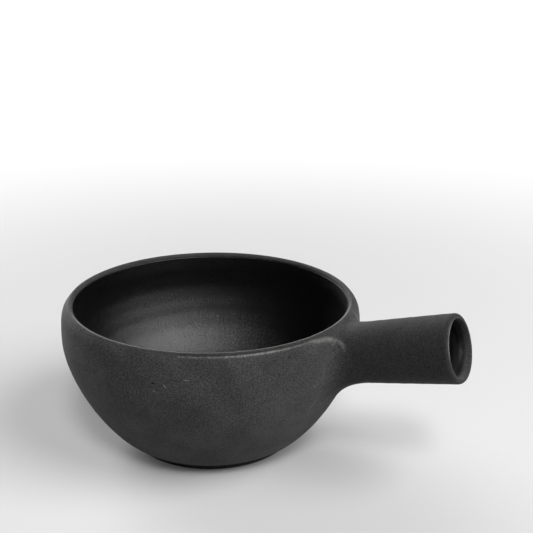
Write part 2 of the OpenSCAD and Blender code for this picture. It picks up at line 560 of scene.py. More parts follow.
@dataclass(frozen=True)
class PaleTable:
    """White laminate under studio light: matte and pale grey near the pot, plain white further off."""

    near: str = "#c4c4c4"
    near_glow: float = 0.05
    near_m: float = 0.2
    far_m: float = 0.75
    roughness: float = 0.7

    def material(self) -> bpy.types.Material:
        """Builds the node material: a smooth step of the distance goes from laminate to plain white.

        Returns:
            The material.
        """
        material, tree = new_tree("white_laminate_matte")
        place = node(tree, "ShaderNodeTexCoord").outputs["Object"]
        away = node(tree, "ShaderNodeVectorMath", {0: place}, operation="LENGTH")
        fade = node(tree, "ShaderNodeMapRange", {
            "Value": away.outputs["Value"], "From Min": self.near_m, "From Max": self.far_m,
            "To Min": self.near_glow}, interpolation_type="SMOOTHSTEP")
        white = node(tree, "ShaderNodeMath", {0: seen(tree), 1: fade.outputs["Result"]},
                     operation="MULTIPLY")
        laminate = node(tree, "ShaderNodeBsdfPrincipled", {
            "Base Color": linear(self.near), "Roughness": self.roughness, "Specular IOR Level": 0.2})
        backdrop = node(tree, "ShaderNodeEmission", {"Color": (1, 1, 1, 1), "Strength": 1.0})
        shader = node(tree, "ShaderNodeMixShader", {
            0: white.outputs["Value"], 1: laminate.outputs["BSDF"], 2: backdrop.outputs["Emission"]})
        node(tree, "ShaderNodeOutputMaterial", {"Surface": shader.outputs["Shader"]})
        return material


@dataclass
class PotPiece:
    """What the pot's new pieces share: a slot of the record, and the one body that they ride on."""

    slot: ClassVar[Slot] = Slot.STONEWARE

    def dress(self, piece: bpy.types.Object, material: bpy.types.Material) -> None:
        """Gives a new piece its material and slot, and lets it ride on the pot's one body.

        Args:
            piece: The piece.
            material: Its finish.
        """
        piece.data.materials.append(material)
        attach(piece, "root")


@dataclass(frozen=True)
class WorkedCrest:
    """The worked clay about the joint: a rough crest below the lip, a fold and a crease.

    On the lip the crest is thin and broken, with a shallow groove above it. It runs towards the handle
    and goes over the joint as a wide soft fold that sinks into the handle's near side. A short crease
    runs up the joint's far side.
    """

    # The crest on the lip: turns at which it starts and leaves, and its place
    start: float = -72.2
    turn_off: float = -22.0
    lip_radius: float = 73.65
    lip_height: float = 74.9
    lip_rise: float = 0.3
    lip_width: float = 0.4
    lip_points: int = 40
    # Sines along the line that break it on the lip: height, rate for each millimetre and phase
    breaks: tuple[tuple[float, float, float], ...] = ((0.3, 2.3, 0.0), (0.25, 4.1, 1.0), (0.2, 0.9, 0.0))
    # The fold over the joint, from where it leaves the lip to where it ends
    fold: tuple[tuple[float, float, float], ...] = (
        (70.4, -24.0, 74.1), (72.2, -18.6, 73.7), (74.6, -13.4, 71.6), (76.6, -12.1, 69.9),
        (78.4, -12.8, 68.3), (79.8, -13.7, 66.4), (80.4, -14.4, 64.0))
    fold_rise: float = 1.0
    fold_width: float = 1.05
    # The crest becomes the fold over this length, from this far before the lip's end
    change_early: float = 6.0
    change_length: float = 10.0
    # Lengths over which the crest rises at its start and fades at the fold's end
    start_length: float = 0.9
    fade_length: float = 9.0
    # Pale edges, partly abrasion and partly painted highlight: all over, on the lip at the least, more about
    # one turn, and on the fold
    lit_wear: float = 0.85
    least_lit_wear: float = 0.4
    more_lit_wear: float = 1.1
    highlight_turn: float = -44.0
    highlight_reach: float = 12.0
    fold_lit_wear: float = 0.75
    # The crease on the joint's far side, from the lip down, and the lengths over which its ends fade
    crease: tuple[tuple[float, float, float], ...] = (
        (71.0, 15.5, 76.1), (71.3, 15.3, 75.7), (72.2, 15.9, 74.4), (73.0, 16.4, 73.1),
        (73.3, 18.0, 71.3), (73.0, 20.6, 69.5))
    crease_rise: float = 0.45
    crease_width: float = 0.42
    crease_lit_wear: float = 0.75
    crease_fades: tuple[float, float] = (3.0, 2.0)
    # The groove between lip and crest, and the turns over which it starts and runs out
    groove_height: float = 75.75
    groove_depth: float = 0.26
    groove_width: float = 0.4
    groove_start: float = 2.0
    groove_past: float = 8.0
    # Distance between the lines' points, how many on each side even one out, and how far a line is felt
    step: float = 0.35
    evened: int = 7
    felt: float = 5.0

    def path(self) -> tuple[Array, Array]:
        """The crest's line: an arc about the bowl's axis and then the fold's points, evened out.

        Returns:
            Points a step apart, and how far each has gone from lip (0) to fold (1).
        """
        turn = np.radians(np.linspace(self.start, self.turn_off, self.lip_points))
        lip = np.stack([self.lip_radius * np.cos(turn), self.lip_radius * np.sin(turn),
                        np.full(turn.size, self.lip_height)], 1)
        line, at = self.even(np.concatenate([lip, self.fold]))
        left = np.linalg.norm(np.diff(lip, axis=0), axis=1).sum()
        lit_side = np.pad(line, ((self.evened, self.evened), (0, 0)), "edge")
        line = np.mean([lit_side[k:k + len(line)] for k in range(2 * self.evened + 1)], axis=0)
        return line, smooth((at - left + self.change_early) / self.change_length)

    def even(self, line: Array) -> tuple[Array, Array]:
        """Puts points a step apart along a line, between its own points.

        Args:
            line: Points of the line, in order.

        Returns:
            The new points, and their distances along the line.
        """
        length = np.concatenate([[0], np.cumsum(np.linalg.norm(np.diff(line, axis=0), axis=1))])
        at = np.arange(0, length[-1], self.step)
        return np.stack([np.interp(at, length, line[:, axis]) for axis in range(3)], 1), at

    def relief(self, points: Array) -> tuple[Array, Array]:
        """Height of the crest, fold and crease: bell curves of a surface's distance to their lines.

        On the lip the height is broken by a sum of sines along the line. Both lines rise from nothing
        at their starts and fade to nothing at their ends.

        Args:
            points: Points of the surface, with x, y and z along the last axis.

        Returns:
            How far the surface stands out, and how pale its edges are, partly painted highlight, from 0 up.
        """
        line, folded = self.path()
        at = np.arange(len(line)) * self.step
        waves = sum(height * np.sin(rate * at + phase) for height, rate, phase in self.breaks)
        broken = 1 + waves * (1 - folded)
        ends = smooth(at / self.start_length) * smooth((at[-1] - at) / self.fade_length)
        rise = (self.lip_rise + (self.fold_rise - self.lip_rise) * folded) * broken * ends
        width = self.lip_width + (self.fold_width - self.lip_width) * folded
        turn = np.degrees(np.arctan2(line[:, 1], line[:, 0]))
        # Paleness strongest about one turn, on the fold and along the crease, partly painted highlight
        lit_side = self.least_lit_wear + self.more_lit_wear * bell(turn, self.highlight_turn, self.highlight_reach)
        worn_and_lit = self.lit_wear * np.maximum(lit_side, self.fold_lit_wear * folded) * broken * ends
        lift, rubbed_and_highlight = self.about(points, line, width, rise, worn_and_lit)
        crease, at = self.even(np.array(self.crease))
        first, last = self.crease_fades
        ends = smooth(at / first) * smooth((at[-1] - at) / last)
        width = np.full(at.size, self.crease_width)
        more, crease_lit = self.about(points, crease, width, self.crease_rise * ends, self.crease_lit_wear * ends)
        return lift + more, rubbed_and_highlight + crease_lit

    def about(self, points: Array, line: Array, width: Array, rise: Array,
              worn_and_lit: Array) -> tuple[Array, Array]:
        """Spreads a line's rise and paleness over the points about it, by a bell curve of the distance.

        Args:
            points: Points of the surface, with x, y and z along the last axis.
            line: Points of the line.
            width: Width of the bell at each of them.
            rise: Height there.
            worn_and_lit: Paleness there, partly painted highlight.

        Returns:
            The height and the paleness at the surface's points.
        """
        low, high = line.min(0) - self.felt, line.max(0) + self.felt
        near = np.all((points > low) & (points < high), axis=-1)
        some = points[near]
        gap = (some ** 2).sum(1)[:, None] - 2 * some @ line.T + (line ** 2).sum(1)
        closest = gap.argmin(1)
        share = np.exp(-gap.min(1) / width[closest] ** 2)
        lift = np.zeros(points.shape[:-1])
        rubbed_and_highlight = np.zeros(points.shape[:-1])
        lift[near] = share * rise[closest]
        rubbed_and_highlight[near] = share * worn_and_lit[closest]
        return lift, rubbed_and_highlight

    def groove(self, height: Array, turn: Array) -> Array:
        """Depth of the groove between lip and crest: a bell curve in height, within its turns.

        Args:
            height: Height above the foot.
            turn: Angle about the axis in radians.

        Returns:
            The depth, shaped as height and turn together.
        """
        degrees = np.degrees(turn)
        left = self.turn_off + self.groove_past - degrees
        window = smooth((degrees - self.start) / self.groove_start) * smooth(left / self.groove_past)
        return self.groove_depth * window * bell(height, self.groove_height, self.groove_width)


@dataclass
class Bowl(PotPiece):
    """The thrown and turned bowl: wall, floor, drawn-in lip and low foot."""

    lip_rise: float = 16.4
    lip_in: float = 6.25
    lip_round: float = 1.1
    lip_roll: float = 1.9
    lip_lean: float = 40.0
    wall: float = 6.0
    floor: float = 8.0
    bend_drop: float = 23.4
    inside_lean: float = 14.5
    belly_pull: float = 21.6
    heel_run: float = 10.7
    foot_radius: float = 42.0
    foot_height: float = 3.2
    foot_bevel: float = 0.6
    crease_round: float = 0.5
    crest: WorkedCrest = field(default_factory=WorkedCrest)
    # Shares of the lip's rise, of the collar's height and of the inside's depth and radius, for curves
    shoulder_full: float = 0.76
    lip_full: float = 0.25
    collar_full: float = 0.33
    bend_full: float = 0.37
    inside_full: float = 0.47
    floor_full: float = 0.8
    # How far the fired clay strays from a true round, in two lobes and three, and their phases
    oval: float = 0.03
    third_lobe: float = 0.5
    lobe_phases: tuple[float, float] = (-0.9, 1.0)
    # The turning tool's faint spiral outside, and where it starts and stops
    ripple: float = 0.03
    ripple_pitch: float = 7.3
    ripple_start: float = 12.0
    ripple_top: float = 66.0
    ripple_stop: float = 6.0
    # The lip's plane leans a little: how far it sinks, and the turn of its lowest point
    lip_tilt: float = 0.92
    low_side: float = -53.0
    # The lip's slow waves, twice and five times round
    lip_wave: float = 0.04
    fifth_wave: float = 0.6
    wave_phases: tuple[float, float] = (1.2, 0.4)
    # The fingers' spiral inside, and the height over which it fades
    ring_depth: float = 0.02
    ring_pitch: float = 9.5
    ring_top: float = 62.0
    ring_fade: float = 8.0
    # The pale line on the lip's inner edge, a painted highlight: strength, middle as a share of the roll,
    # width, and the turns that it covers
    edge_highlight: float = 0.95
    edge_at: float = 0.3
    edge_width: float = 0.4
    highlight_turn: float = -55.0
    highlight_reach: float = 85.0
    highlight_fade: float = 25.0
    # Painted shade inside the lip: how much, how far past the crest it starts, and the length over which it
    # grows
    painted_shade: float = 0.6
    shade_from: float = 1.9
    shade_fade: float = 1.1
    # How closely the outside's rows lie on the wall, and how much closer at the foot and the lip
    wall_density: float = 0.6
    foot_density: float = 2.6
    lip_density: float = 3.4
    dense_foot: float = 2.5
    dense_inside: float = 2.0
    dense_lip: float = 72.0
    dense_rise: float = 2.0
    # Steps of the curves before their points are spread
    heel_steps: int = 400
    shoulder_steps: int = 200
    crest_steps: int = 40
    collar_steps: int = 150
    lower_steps: int = 300
    corner_steps: int = 12
    hub_share: float = 0.05
    columns: int = 720
    outside_rows: int = 100
    lip_steps: int = 14
    inside_rows: int = 14
    radius: float = field(init=False)
    height: float = field(init=False)

    def __post_init__(self) -> None:
        """Takes the width and the height from the frame."""
        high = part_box("bowl")[1]
        self.radius = high.y / MM
        self.height = high.z / MM

    @property
    def belly(self) -> float:
        """Height of the widest point."""
        return self.height - self.lip_rise

    @property
    def lip_centre(self) -> Array:
        """Centre of the lip's arc outside its crest."""
        return np.array([self.radius - self.lip_in + self.lip_roll, self.height - self.lip_round])

    @property
    def roll_centre(self) -> Array:
        """Centre of the lip's arc inside its crest."""
        return np.array([self.radius - self.lip_in + self.lip_roll, self.height - self.lip_roll])

    def outer_wall(self) -> Array:
        """The outside of the clay: a cubic up to the belly, one over the shoulder and the lip's arc.

        Returns:
            Points from the foot's crease to the crest.
        """
        lean = math.radians(self.lip_lean)
        edge = self.lip_centre + self.lip_round * np.array([math.cos(lean), math.sin(lean)])
        back = self.lip_full * self.lip_rise * np.array([-math.sin(lean), math.cos(lean)])
        full = self.belly + self.shoulder_full * self.lip_rise
        foot = (self.foot_radius, self.foot_height)
        widest = (self.radius, self.belly)
        heel = cubic([foot, (self.foot_radius + self.heel_run, self.foot_height),
                      (self.radius, self.belly - self.belly_pull), widest], self.heel_steps)
        shoulder = cubic([widest, (self.radius, full), edge - back, edge], self.shoulder_steps)
        lip = arc(self.lip_centre, self.lip_round, self.lip_lean, 90, self.crest_steps)
        return np.concatenate([heel, shoulder[1:], lip[1:]])

    def inner_wall(self) -> Array:
        """The inside of the clay: two cubics that meet at the bend.

        The upright collar under the lip ends there, and the wall leans in.

        Returns:
            Points from the lip's inner edge to the middle of the floor.
        """
        mouth = np.array([self.radius - self.lip_in, self.roll_centre[1]])
        level = self.height - self.bend_drop
        wall = self.outer_wall()
        bend = np.array([np.interp(level, wall[:, 1], wall[:, 0]) - self.wall, level])
        lean = math.radians(self.inside_lean)
        along = np.array([math.sin(lean), math.cos(lean)])
        tall = mouth[1] - level
        collar = cubic([mouth, mouth - (0, self.collar_full * tall),
                        bend + self.bend_full * tall * along, bend], self.collar_steps)
        lower = cubic([bend, bend - self.inside_full * (level - self.floor) * along,
                       (self.floor_full * bend[0], self.floor), (0, self.floor)], self.lower_steps)
        return np.concatenate([collar, lower[1:]])

    def outline(self) -> tuple[Array, Array]:
        """The whole section from the underside's middle over the lip to the floor's middle.

        Returns:
            The outside up to the crest, and the inside down from it, without the two middles.
        """
        bevel = self.foot_bevel
        crease = self.crease_round
        foot = arc((self.foot_radius - bevel, bevel), bevel, -90, 0, self.corner_steps)
        hollow_centre = (self.foot_radius + crease, self.foot_height - crease)
        hollow = arc(hollow_centre, crease, 180, 90, self.corner_steps)
        wall = self.outer_wall()
        wall = wall[wall[:, 0] > self.foot_radius + crease]
        outside = np.concatenate([[(self.hub_share * self.foot_radius, 0)], foot, hollow, wall])
        beyond = outside[:, 0] > self.foot_radius - self.dense_inside
        near_foot = bell(outside[:, 1], self.foot_height / 2, self.dense_foot) * beyond
        near_lip = smooth((outside[:, 1] - self.dense_lip) / self.dense_rise)
        density = self.wall_density + self.foot_density * near_foot + self.lip_density * near_lip
        outside = spread(outside, density, self.outside_rows)
        edge = arc(self.roll_centre, self.lip_roll, 90, 180, self.lip_steps)[1:]
        inner = self.inner_wall()
        inside = np.concatenate([edge, spread(inner, np.ones(len(inner)), self.inside_rows)[1:-1]])
        return outside, inside

    def settle(self, radius: Array, height: Array, turn: Array) -> tuple[Array, Array]:
        """Lets the clay stray from the true round, with the radius always inwards so that the size holds.

        The radius loses a two-lobed and a three-lobed wave that grow with height, and a faint
        spiral. The height changes by the sag.

        Args:
            radius: Distance from the axis.
            height: Height above the foot.
            turn: Angle about the axis in radians.

        Returns:
            The new radius and height.
        """
        share = np.clip(height / self.height, 0, 1)
        two, three = self.lobe_phases
        lobes = np.cos(2 * turn + two) - 1 + self.third_lobe * (np.cos(3 * turn + three) - 1)
        spiral = np.sin(FULL_TURN * height / self.ripple_pitch + turn) - 1
        turned = smooth((height - self.foot_height) / self.ripple_start)
        turned = turned * (1 - smooth((height - self.ripple_top) / self.ripple_stop))
        strayed = radius + self.oval * share * lobes + self.ripple * turned * spiral
        return strayed, height + self.sag(height, turn)

    def sag(self, height: Array, turn: Array) -> Array:
        """How far the clay above the belly lies out of level: one lean and two slow waves of the lip.

        Args:
            height: Height above the foot.
            turn: Angle about the axis in radians.

        Returns:
            The change of height, shaped as height and turn together.
        """
        above = smooth((height - self.belly) / self.lip_rise)
        lean = self.lip_tilt * np.cos(turn - math.radians(self.low_side))
        two, five = self.wave_phases
        waves = np.sin(2 * turn + two) + self.fifth_wave * np.sin(5 * turn + five)
        return above * (self.lip_wave * waves - lean)

    def rings(self, height: Array, turn: Array) -> Array:
        """The fingers' spiral inside: a sine of height and turn, fading at the lip."""
        fade = 1 - smooth((height - self.ring_top) / self.ring_fade)
        return self.ring_depth * fade * np.sin(FULL_TURN * height / self.ring_pitch + turn)

    def moved(self, outline: Array, by: Array, turn: Array) -> tuple[Array, Array]:
        """Moves an outline along its normals, turns it about the axis and lets it settle.

        Args:
            outline: Points in the plane.
            by: Distance to the right of the outline's direction, on a grid of points and turns.
            turn: Angle about the axis in radians.

        Returns:
            The radius and the height on the grid.
        """
        facing = outward(outline)
        return self.settle(outline[:, :1] + facing[:, :1] * by, outline[:, 1:] + facing[:, 1:] * by, turn)

    def wall_radius(self, height: Array, turn: Array) -> Array:
        """Radius of the settled outside: the wall's at the height less its sag, and then settled.

        Args:
            height: Height above the foot.
            turn: Angle about the axis in radians.

        Returns:
            The radius, shaped as height and turn together.
        """
        wall = self.outer_wall()
        level = height - self.sag(height, turn)
        radius = np.interp(level, wall[:, 1], wall[:, 0])
        return self.settle(radius, level, turn)[0]

    def build(self) -> bpy.types.Object:
        """Turns the section about the axis, settled, with the crest on its shoulder and rings inside.

        The values for the clay are the crest's paleness, partly painted highlight, the painted highlight
        along the lip's inner edge, painted shade in the groove, and painted shade that starts inside the
        lip.

        Returns:
            The bowl's mesh, which stands for its CAD node.
        """
        outside, inside = self.outline()
        turn = np.linspace(-math.pi, math.pi, self.columns, endpoint=False)[None, :]
        true = np.stack(np.broadcast_arrays(
            outside[:, :1] * np.cos(turn), outside[:, :1] * np.sin(turn), outside[:, 1:]), -1)
        lift, crest = self.crest.relief(true)
        groove = self.crest.groove(outside[:, 1:], turn)
        far, tall = self.moved(outside, lift - groove, turn)
        deep, low = self.moved(inside, self.rings(inside[:, 1:], turn), turn)
        piece = make_turned("bowl_body", np.concatenate([far, deep]), np.concatenate([tall, low]), turn,
                            (0, self.floor))
        past = np.linalg.norm(np.diff(inside, axis=0, prepend=outside[-1:]), axis=1).cumsum()[:, None]
        # Painted highlight along the lip's inner edge, on the side towards the camera
        lit_side = smooth((self.highlight_reach - np.abs(np.degrees(turn) - self.highlight_turn)) / self.highlight_fade)
        edge = lit_side * bell(past, self.edge_at * self.lip_roll, self.edge_width)
        # Painted shade inside the lip, starting past the crest
        painted_shade = self.painted_shade * smooth((past - self.shade_from) / self.shade_fade)
        values = {
            # Crest paleness, partly painted highlight, and the painted highlight on the lip's inner edge
            "rubbed_and_highlight": (crest, self.edge_highlight * edge),
            # Painted shade in the groove, as deep as the groove is
            "smoke_and_shade": (groove / self.crest.groove_depth, np.zeros(deep.shape)),
            "shaded": (np.zeros(far.shape), np.broadcast_to(painted_shade, deep.shape)),
        }
        for name, (without, within) in values.items():
            add_values(piece, name, np.concatenate([without.ravel(), within.ravel(), [0, 0]]))
        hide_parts("bowl")
        return piece


@dataclass
class LinerGlaze(PotPiece):
    """The satin coat inside the bowl, thin at the lip and even below it."""

    slot: ClassVar[Slot] = Slot.GLAZE

    bowl: Bowl
    thickness: float = 0.4
    least: float = 0.02
    taper: float = 8.0
    # How closely the face's rows lie at the floor, how much closer under the lip, and where that changes
    floor_density: float = 0.5
    lip_density: float = 1.5
    dense_from: float = 40.0
    dense_rise: float = 30.0
    columns: int = 512
    face_rows: int = 120
    back_rows: int = 24

    def build(self) -> bpy.types.Object:
        """Turns a thin closed section: the clay's inside, and the same moved in by the coat.

        Returns:
            The coat's mesh, which stands for its CAD node.
        """
        bowl = self.bowl
        clay = bowl.inner_wall()
        high = smooth((clay[:, 1] - self.dense_from) / self.dense_rise)
        face = spread(clay, self.floor_density + self.lip_density * high, self.face_rows)[:-1]
        back = spread(clay, np.ones(len(clay)), self.back_rows)[:-1]
        turn = np.linspace(0, FULL_TURN, self.columns, endpoint=False)[None, :]
        coat = self.thickness * smooth((face[0, 1] - face[:, 1:]) / self.taper) + self.least
        inner = bowl.moved(face, coat + bowl.rings(face[:, 1:], turn), turn)
        outer = bowl.moved(back, bowl.rings(back[:, 1:], turn), turn)
        radius, height = (np.concatenate([inner[k][::-1], outer[k]]) for k in (0, 1))
        piece = make_turned("liner_coat", radius, height, turn, (bowl.floor + self.thickness, bowl.floor))
        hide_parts("liner_glaze")
        return piece


@dataclass
class Handle(PotPiece):
    """The thrown tube that is luted to the bowl's side, open at its outer end."""

    bowl: Bowl
    length: float = 56.6
    root_radius: float = 14.2
    end_radius: float = 16.3
    wall: float = 2.5
    tilt: float = 13.4
    drop: float = 1.9
    slip: float = 0.6
    # The skin's swell, and the turning tool's faint spiral on it
    swell: float = 0.08
    skin_ring: float = 0.03
    skin_pitch: float = 8.0
    # The fingers' spiral in the bore, how it wavers, and the lengths over which its ends fade
    bore_ring: float = 0.32
    bore_pitch: float = 4.6
    bore_waver: float = 0.6
    bore_fades: tuple[float, float] = (5.0, 3.0)
    # The rim: its brow outside, its edge inside, and how far it is out of true
    rim_back: float = 2.6
    rim_inner: float = 0.5
    rim_full: float = 0.8
    rim_wave: float = 0.04
    third_wave: float = 0.5
    wave_phases: tuple[float, float] = (0.5, 2.0)
    rim_slant: float = 0.5
    slant_back: float = 0.3
    rim_lean: float = 0.6
    # The rim's pale edge, a painted highlight where the key light strikes the rim: strength, width along and
    # across, and the angle about the tube where it is brightest, with its reach
    rim_highlight: float = 0.75
    edge_width: float = 0.5
    edge_across: float = 0.9
    highlight_angle: float = 143.24
    highlight_angle_reach: float = 28.65
    # The share of that pale edge away from the highlight, and how much and how often it varies round the rim
    off_highlight_share: float = 0.05
    wear_wave: float = 0.3
    wear_waves: int = 7
    # Painted shade on the rest of the rim's edge
    rim_shade: float = 0.6
    rim_shade_reach: float = 45.84
    # The bore's bare lip: where it starts in the wall, how deep it goes, how pale it is and how much of the
    # smoky tone it clears
    lip_start: float = 0.7
    lip_fade: float = 0.6
    bare_depth: float = 2.2
    bare_fade: float = 2.0
    bare_wear: float = 0.12
    bare_clean: float = 0.85
    # The pale streak in the bore: depth and length, angle and reach, how pale it is and how much painted
    # shade it clears
    streak_depth: float = 5.2
    streak_long: float = 0.9
    streak_at: float = 331.74
    streak_reach: float = 18.33
    streak_wear: float = 0.24
    streak_clean: float = 0.8
    # Painted shade in the bore: how deep it starts, how much deeper below than above, and how it thins below
    shade_depth: float = 1.6
    shade_lean: float = 1.0
    shade_fade: float = 2.2
    shade_thin: float = 0.1
    # Smoke on the tube: distance from the wall where it starts, and over which it grows
    smoke_from: float = 4.0
    smoke_fade: float = 10.0
    halvings: int = 30
    columns: int = 224
    outside_rows: int = 84
    rim_steps: int = 14
    bore_rows: int = 96

    @property
    def rim_along(self) -> float:
        """Distance along the axis at which the rim's round edge begins."""
        return self.length - self.wall / 2

    @property
    def start(self) -> Array:
        """The point where the axis leaves the bowl's wall, below the lip by drop and tilted radius.

        Returns:
            Its x, y and z.
        """
        height = self.bowl.height - self.drop - self.root_radius / math.cos(math.radians(self.tilt))
        wall = self.bowl.outer_wall()
        return np.array([np.interp(height, wall[:, 1], wall[:, 0]), 0, height])

    def radius(self, along: Array) -> Array:
        """Outer radius of the tube, straight from the root to the rim."""
        return self.root_radius + (self.end_radius - self.root_radius) * along / self.rim_along

    def beside(self, angle: Array, gap: Array, along: Array) -> Array:
        """A point beside the tube: out along the axis, then away from it at an angle.

        Args:
            angle: Angle about the axis in radians, from +Y over the top.
            gap: Distance from the tube's skin, less than 0 inside it.
            along: Distance along the axis.

        Returns:
            The points, with x, y and z along the last axis.
        """
        angle, gap, along = np.broadcast_arrays(angle, gap, along)
        tilt = math.radians(self.tilt)
        away = self.radius(along) + gap
        x = self.start[0] + along * math.cos(tilt) - away * np.sin(angle) * math.sin(tilt)
        z = self.start[2] + along * math.sin(tilt) + away * np.sin(angle) * math.cos(tilt)
        return np.stack([x, away * np.cos(angle), z], -1)

    def meet(self, angle: Array, gap: Array, off: float = 0.0) -> Array:
        """Distance along the tube at which a line beside it meets the bowl, by halving an interval.

        Args:
            angle: Angle about the axis in radians.
            gap: Distance of the line from the tube's skin.
            off: Distance kept from the bowl's wall.

        Returns:
            The distances, shaped as angle and gap together.
        """
        angle, gap = np.broadcast_arrays(angle, gap)
        low = np.full(angle.shape, -2 * self.root_radius)
        high = np.full(angle.shape, self.root_radius)
        for _ in range(self.halvings):
            middle = (low + high) / 2
            point = self.beside(angle, gap, middle)
            turn = np.arctan2(point[..., 1], point[..., 0])
            wall = self.bowl.wall_radius(point[..., 2], turn)
            clear = np.hypot(point[..., 0], point[..., 1]) > wall + off
            high = np.where(clear, middle, high)
            low = np.where(clear, low, middle)
        return (low + high) / 2

    def rim_crest(self, angle: Array) -> Array:
        """Distance along the axis of the rim's crest.

        It has waves two and three times round, and is cut a little askew, by the cosine of the angle
        and by its sine.

        Args:
            angle: Angle about the axis in radians.

        Returns:
            The distance at each angle.
        """
        two, three = self.wave_phases
        waves = 1 + np.sin(2 * angle + two) + self.third_wave * (1 + np.sin(3 * angle + three))
        askew = self.rim_slant * (np.cos(angle) - self.slant_back)
        return self.length - self.rim_wave * waves + askew - self.rim_lean * (1 + np.sin(angle)) / 2

    def build(self) -> bpy.types.Object:
        """Carries the tube's section round its axis, with its inner end cut to the bowl.

        Along a row: out over the skin, which swells by half a sine, round the rim as a quarter of a
        full ellipse outside and of a circle inside, and back down the bore, where a sine of distance and
        angle is the fingers' spiral. The last row joins the first at the root.

        Returns:
            The handle's mesh, which stands for its CAD node.
        """
        angle = np.linspace(0, FULL_TURN, self.columns, endpoint=False)[None, :]
        crest = self.rim_crest(angle)
        quarter = np.linspace(0, math.pi / 2, self.rim_steps + 1)[1:, None]
        skin_to = crest - self.rim_back
        skin_from = self.meet(angle, np.zeros(1), self.slip)
        skin_along = skin_from + (skin_to - skin_from) * np.linspace(0, 1, self.outside_rows)[:, None]
        turned = np.sin(FULL_TURN * skin_along / self.skin_pitch + angle) - 1
        swell = self.swell * np.sin(math.pi * np.clip(skin_along / skin_to, 0, 1))
        skin_gap = swell + self.skin_ring * turned
        brow_along = skin_to + self.rim_back * np.sin(quarter) ** self.rim_full
        brow_gap = (self.wall - self.rim_inner) * (np.abs(np.cos(quarter)) ** self.rim_full - 1)
        edge_along = crest - self.rim_inner * (1 - np.cos(quarter))
        edge_gap = self.rim_inner - self.wall - self.rim_inner * np.sin(quarter)
        bore_to = crest - self.rim_inner
        bore_from = self.meet(angle, np.full(1, -self.wall), self.slip)
        bore_along = bore_to + (bore_from - bore_to) * np.linspace(0, 1, self.bore_rows)[1:, None]
        first, last = self.bore_fades
        settled = smooth((bore_to - bore_along) / first) * smooth((bore_along - bore_from) / last)
        waver = self.bore_waver * np.sin(3 * angle)
        spiral = np.sin(FULL_TURN * bore_along / self.bore_pitch + angle + waver)
        bore_gap = -self.wall - self.bore_ring * settled * spiral
        along = np.concatenate([skin_along, brow_along, edge_along, bore_along])
        brow_gap, edge_gap = (np.broadcast_to(rim, edge_along.shape) for rim in (brow_gap, edge_gap))
        gap = np.concatenate([skin_gap, brow_gap, edge_gap, bore_gap])
        lift, rubbed_and_highlight = self.bowl.crest.relief(self.beside(angle, gap, along))
        grid = self.beside(angle, gap + lift, along).reshape(-1, 3)
        piece = make_piece("handle_tube", grid, ring_faces(len(along), self.columns, True))
        self.weather(piece, angle, gap, along, rubbed_and_highlight)
        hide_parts("handle")
        return piece

    def weather(self, piece: bpy.types.Object, angle: Array, gap: Array, along: Array,
                rubbed_and_highlight: Array) -> None:
        """Stores the pale edges with their painted highlight, the smoky tone, and the painted shade.

        The rim's edge is pale where the key light strikes it, a painted highlight, faintly pale elsewhere,
        and darkened there by painted shade. Inside it a bare lip gives way to painted shade, which starts
        deeper below than above and is broken by one pale streak. All of these are bell curves or smooth
        steps of the depth below the rim's crest and of the angle.

        Args:
            piece: The tube.
            angle: Angle about the axis in radians, for each column.
            gap: Distance of each point from the tube's skin.
            along: Its distance along the axis.
            rubbed_and_highlight: Its paleness from the crest of the joint, partly painted highlight.
        """
        depth = self.rim_crest(angle) - along
        degrees = np.degrees(angle)
        edge = bell(depth, 0, self.edge_width) * bell(gap, self.rim_inner - self.wall, self.edge_across)
        # Painted highlight on the rim's edge where the key light strikes it
        lit_side = self.off_highlight_share + (1 - self.off_highlight_share) * bell(degrees, self.highlight_angle, self.highlight_angle_reach)
        inside = smooth((self.lip_start - self.wall - gap) / self.lip_fade)
        aside = 2 * np.sin((angle - math.radians(self.streak_at)) / 2)
        streak = bell(depth, self.streak_depth, self.streak_long)
        streak = streak * bell(aside, 0, math.radians(self.streak_reach))
        bare = inside * np.maximum(1 - smooth((depth - self.bare_depth) / self.bare_fade), streak)
        worn_and_lit = self.rim_highlight * edge * lit_side * (1 + self.wear_wave * np.sin(self.wear_waves * angle))
        worn_and_lit = worn_and_lit + self.bare_wear * bare + self.streak_wear * inside * streak
        add_values(piece, "rubbed_and_highlight", rubbed_and_highlight + worn_and_lit)
        smoke_and_shade = smooth((along - self.smoke_from) / self.smoke_fade) * (1 - self.bare_clean * bare)
        add_values(piece, "smoke_and_shade", smoke_and_shade)
        # Painted shade deep in the bore
        deep = smooth((depth - self.shade_depth + self.shade_lean * np.sin(angle)) / self.shade_fade)
        shaded = inside * deep * (1 + self.shade_thin * np.sin(angle)) * (1 - self.streak_clean * streak)
        # Painted shade on the rest of the rim's edge
        rim_shaded = self.rim_shade * edge * (1 - bell(degrees, self.highlight_angle, self.rim_shade_reach))
        add_values(piece, "shaded", np.clip(np.maximum(shaded, rim_shaded), 0, 1))


